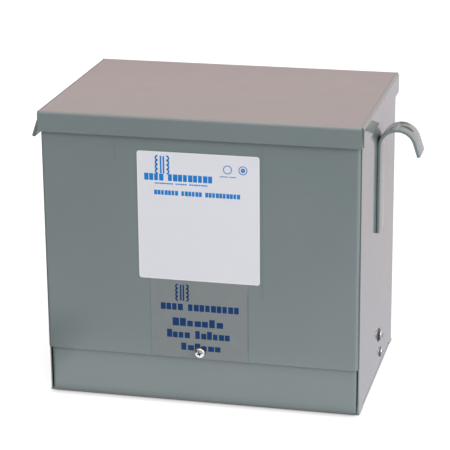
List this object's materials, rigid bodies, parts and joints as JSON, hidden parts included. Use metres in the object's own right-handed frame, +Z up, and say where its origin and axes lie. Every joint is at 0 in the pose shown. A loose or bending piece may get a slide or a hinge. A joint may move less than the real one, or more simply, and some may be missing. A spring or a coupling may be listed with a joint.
{
  "type": "drive isolation transformer",
  "caption": "Encapsulated dry-type isolation transformer in a gray steel case with a flanged lid, screwed front cover and lifting hooks on both sides.",
  "frame": {"origin": "middle of the bottom, on the floor plane", "axes": "+Z up, the front cover faces -Y, the lifting hooks stand out along -X and +X"},
  "size_m": [0.477, 0.269, 0.35],
  "materials": {
    "enamel": "glossy gray enamel",
    "zinc": "bright zinc plate",
    "white_label": "satin white film",
    "metallic_decal": "satin silver-gray film",
    "core_steel": "plain steel",
    "potting": "cast silica-filled resin"
  },
  "bodies": {
    "root": {"lid": "enamel", "left_side_panel": "enamel", "right_side_panel": "enamel", "back_panel": "enamel", "front_cover": "enamel", "lower_front_panel": "enamel", "base_pan": "enamel", "left_lifting_hook": "enamel", "right_lifting_hook": "enamel", "nameplate_label": "white_label", "lower_decal": "metallic_decal", "cover_screw": "zinc", "cover_screw_washer": "zinc", "cover_screw_nut": "zinc", "left_upper_screw": "zinc", "right_upper_screw": "zinc", "left_upper_washer": "zinc", "right_upper_washer": "zinc", "left_lower_screw": "zinc", "right_lower_screw": "zinc", "left_lower_nut": "zinc", "right_lower_nut": "zinc", "left_core_bracket": "core_steel", "right_core_bracket": "core_steel", "potted_core": "potting", "left_knockout": "enamel", "right_knockout": "enamel"}
  },
  "joints": []
}
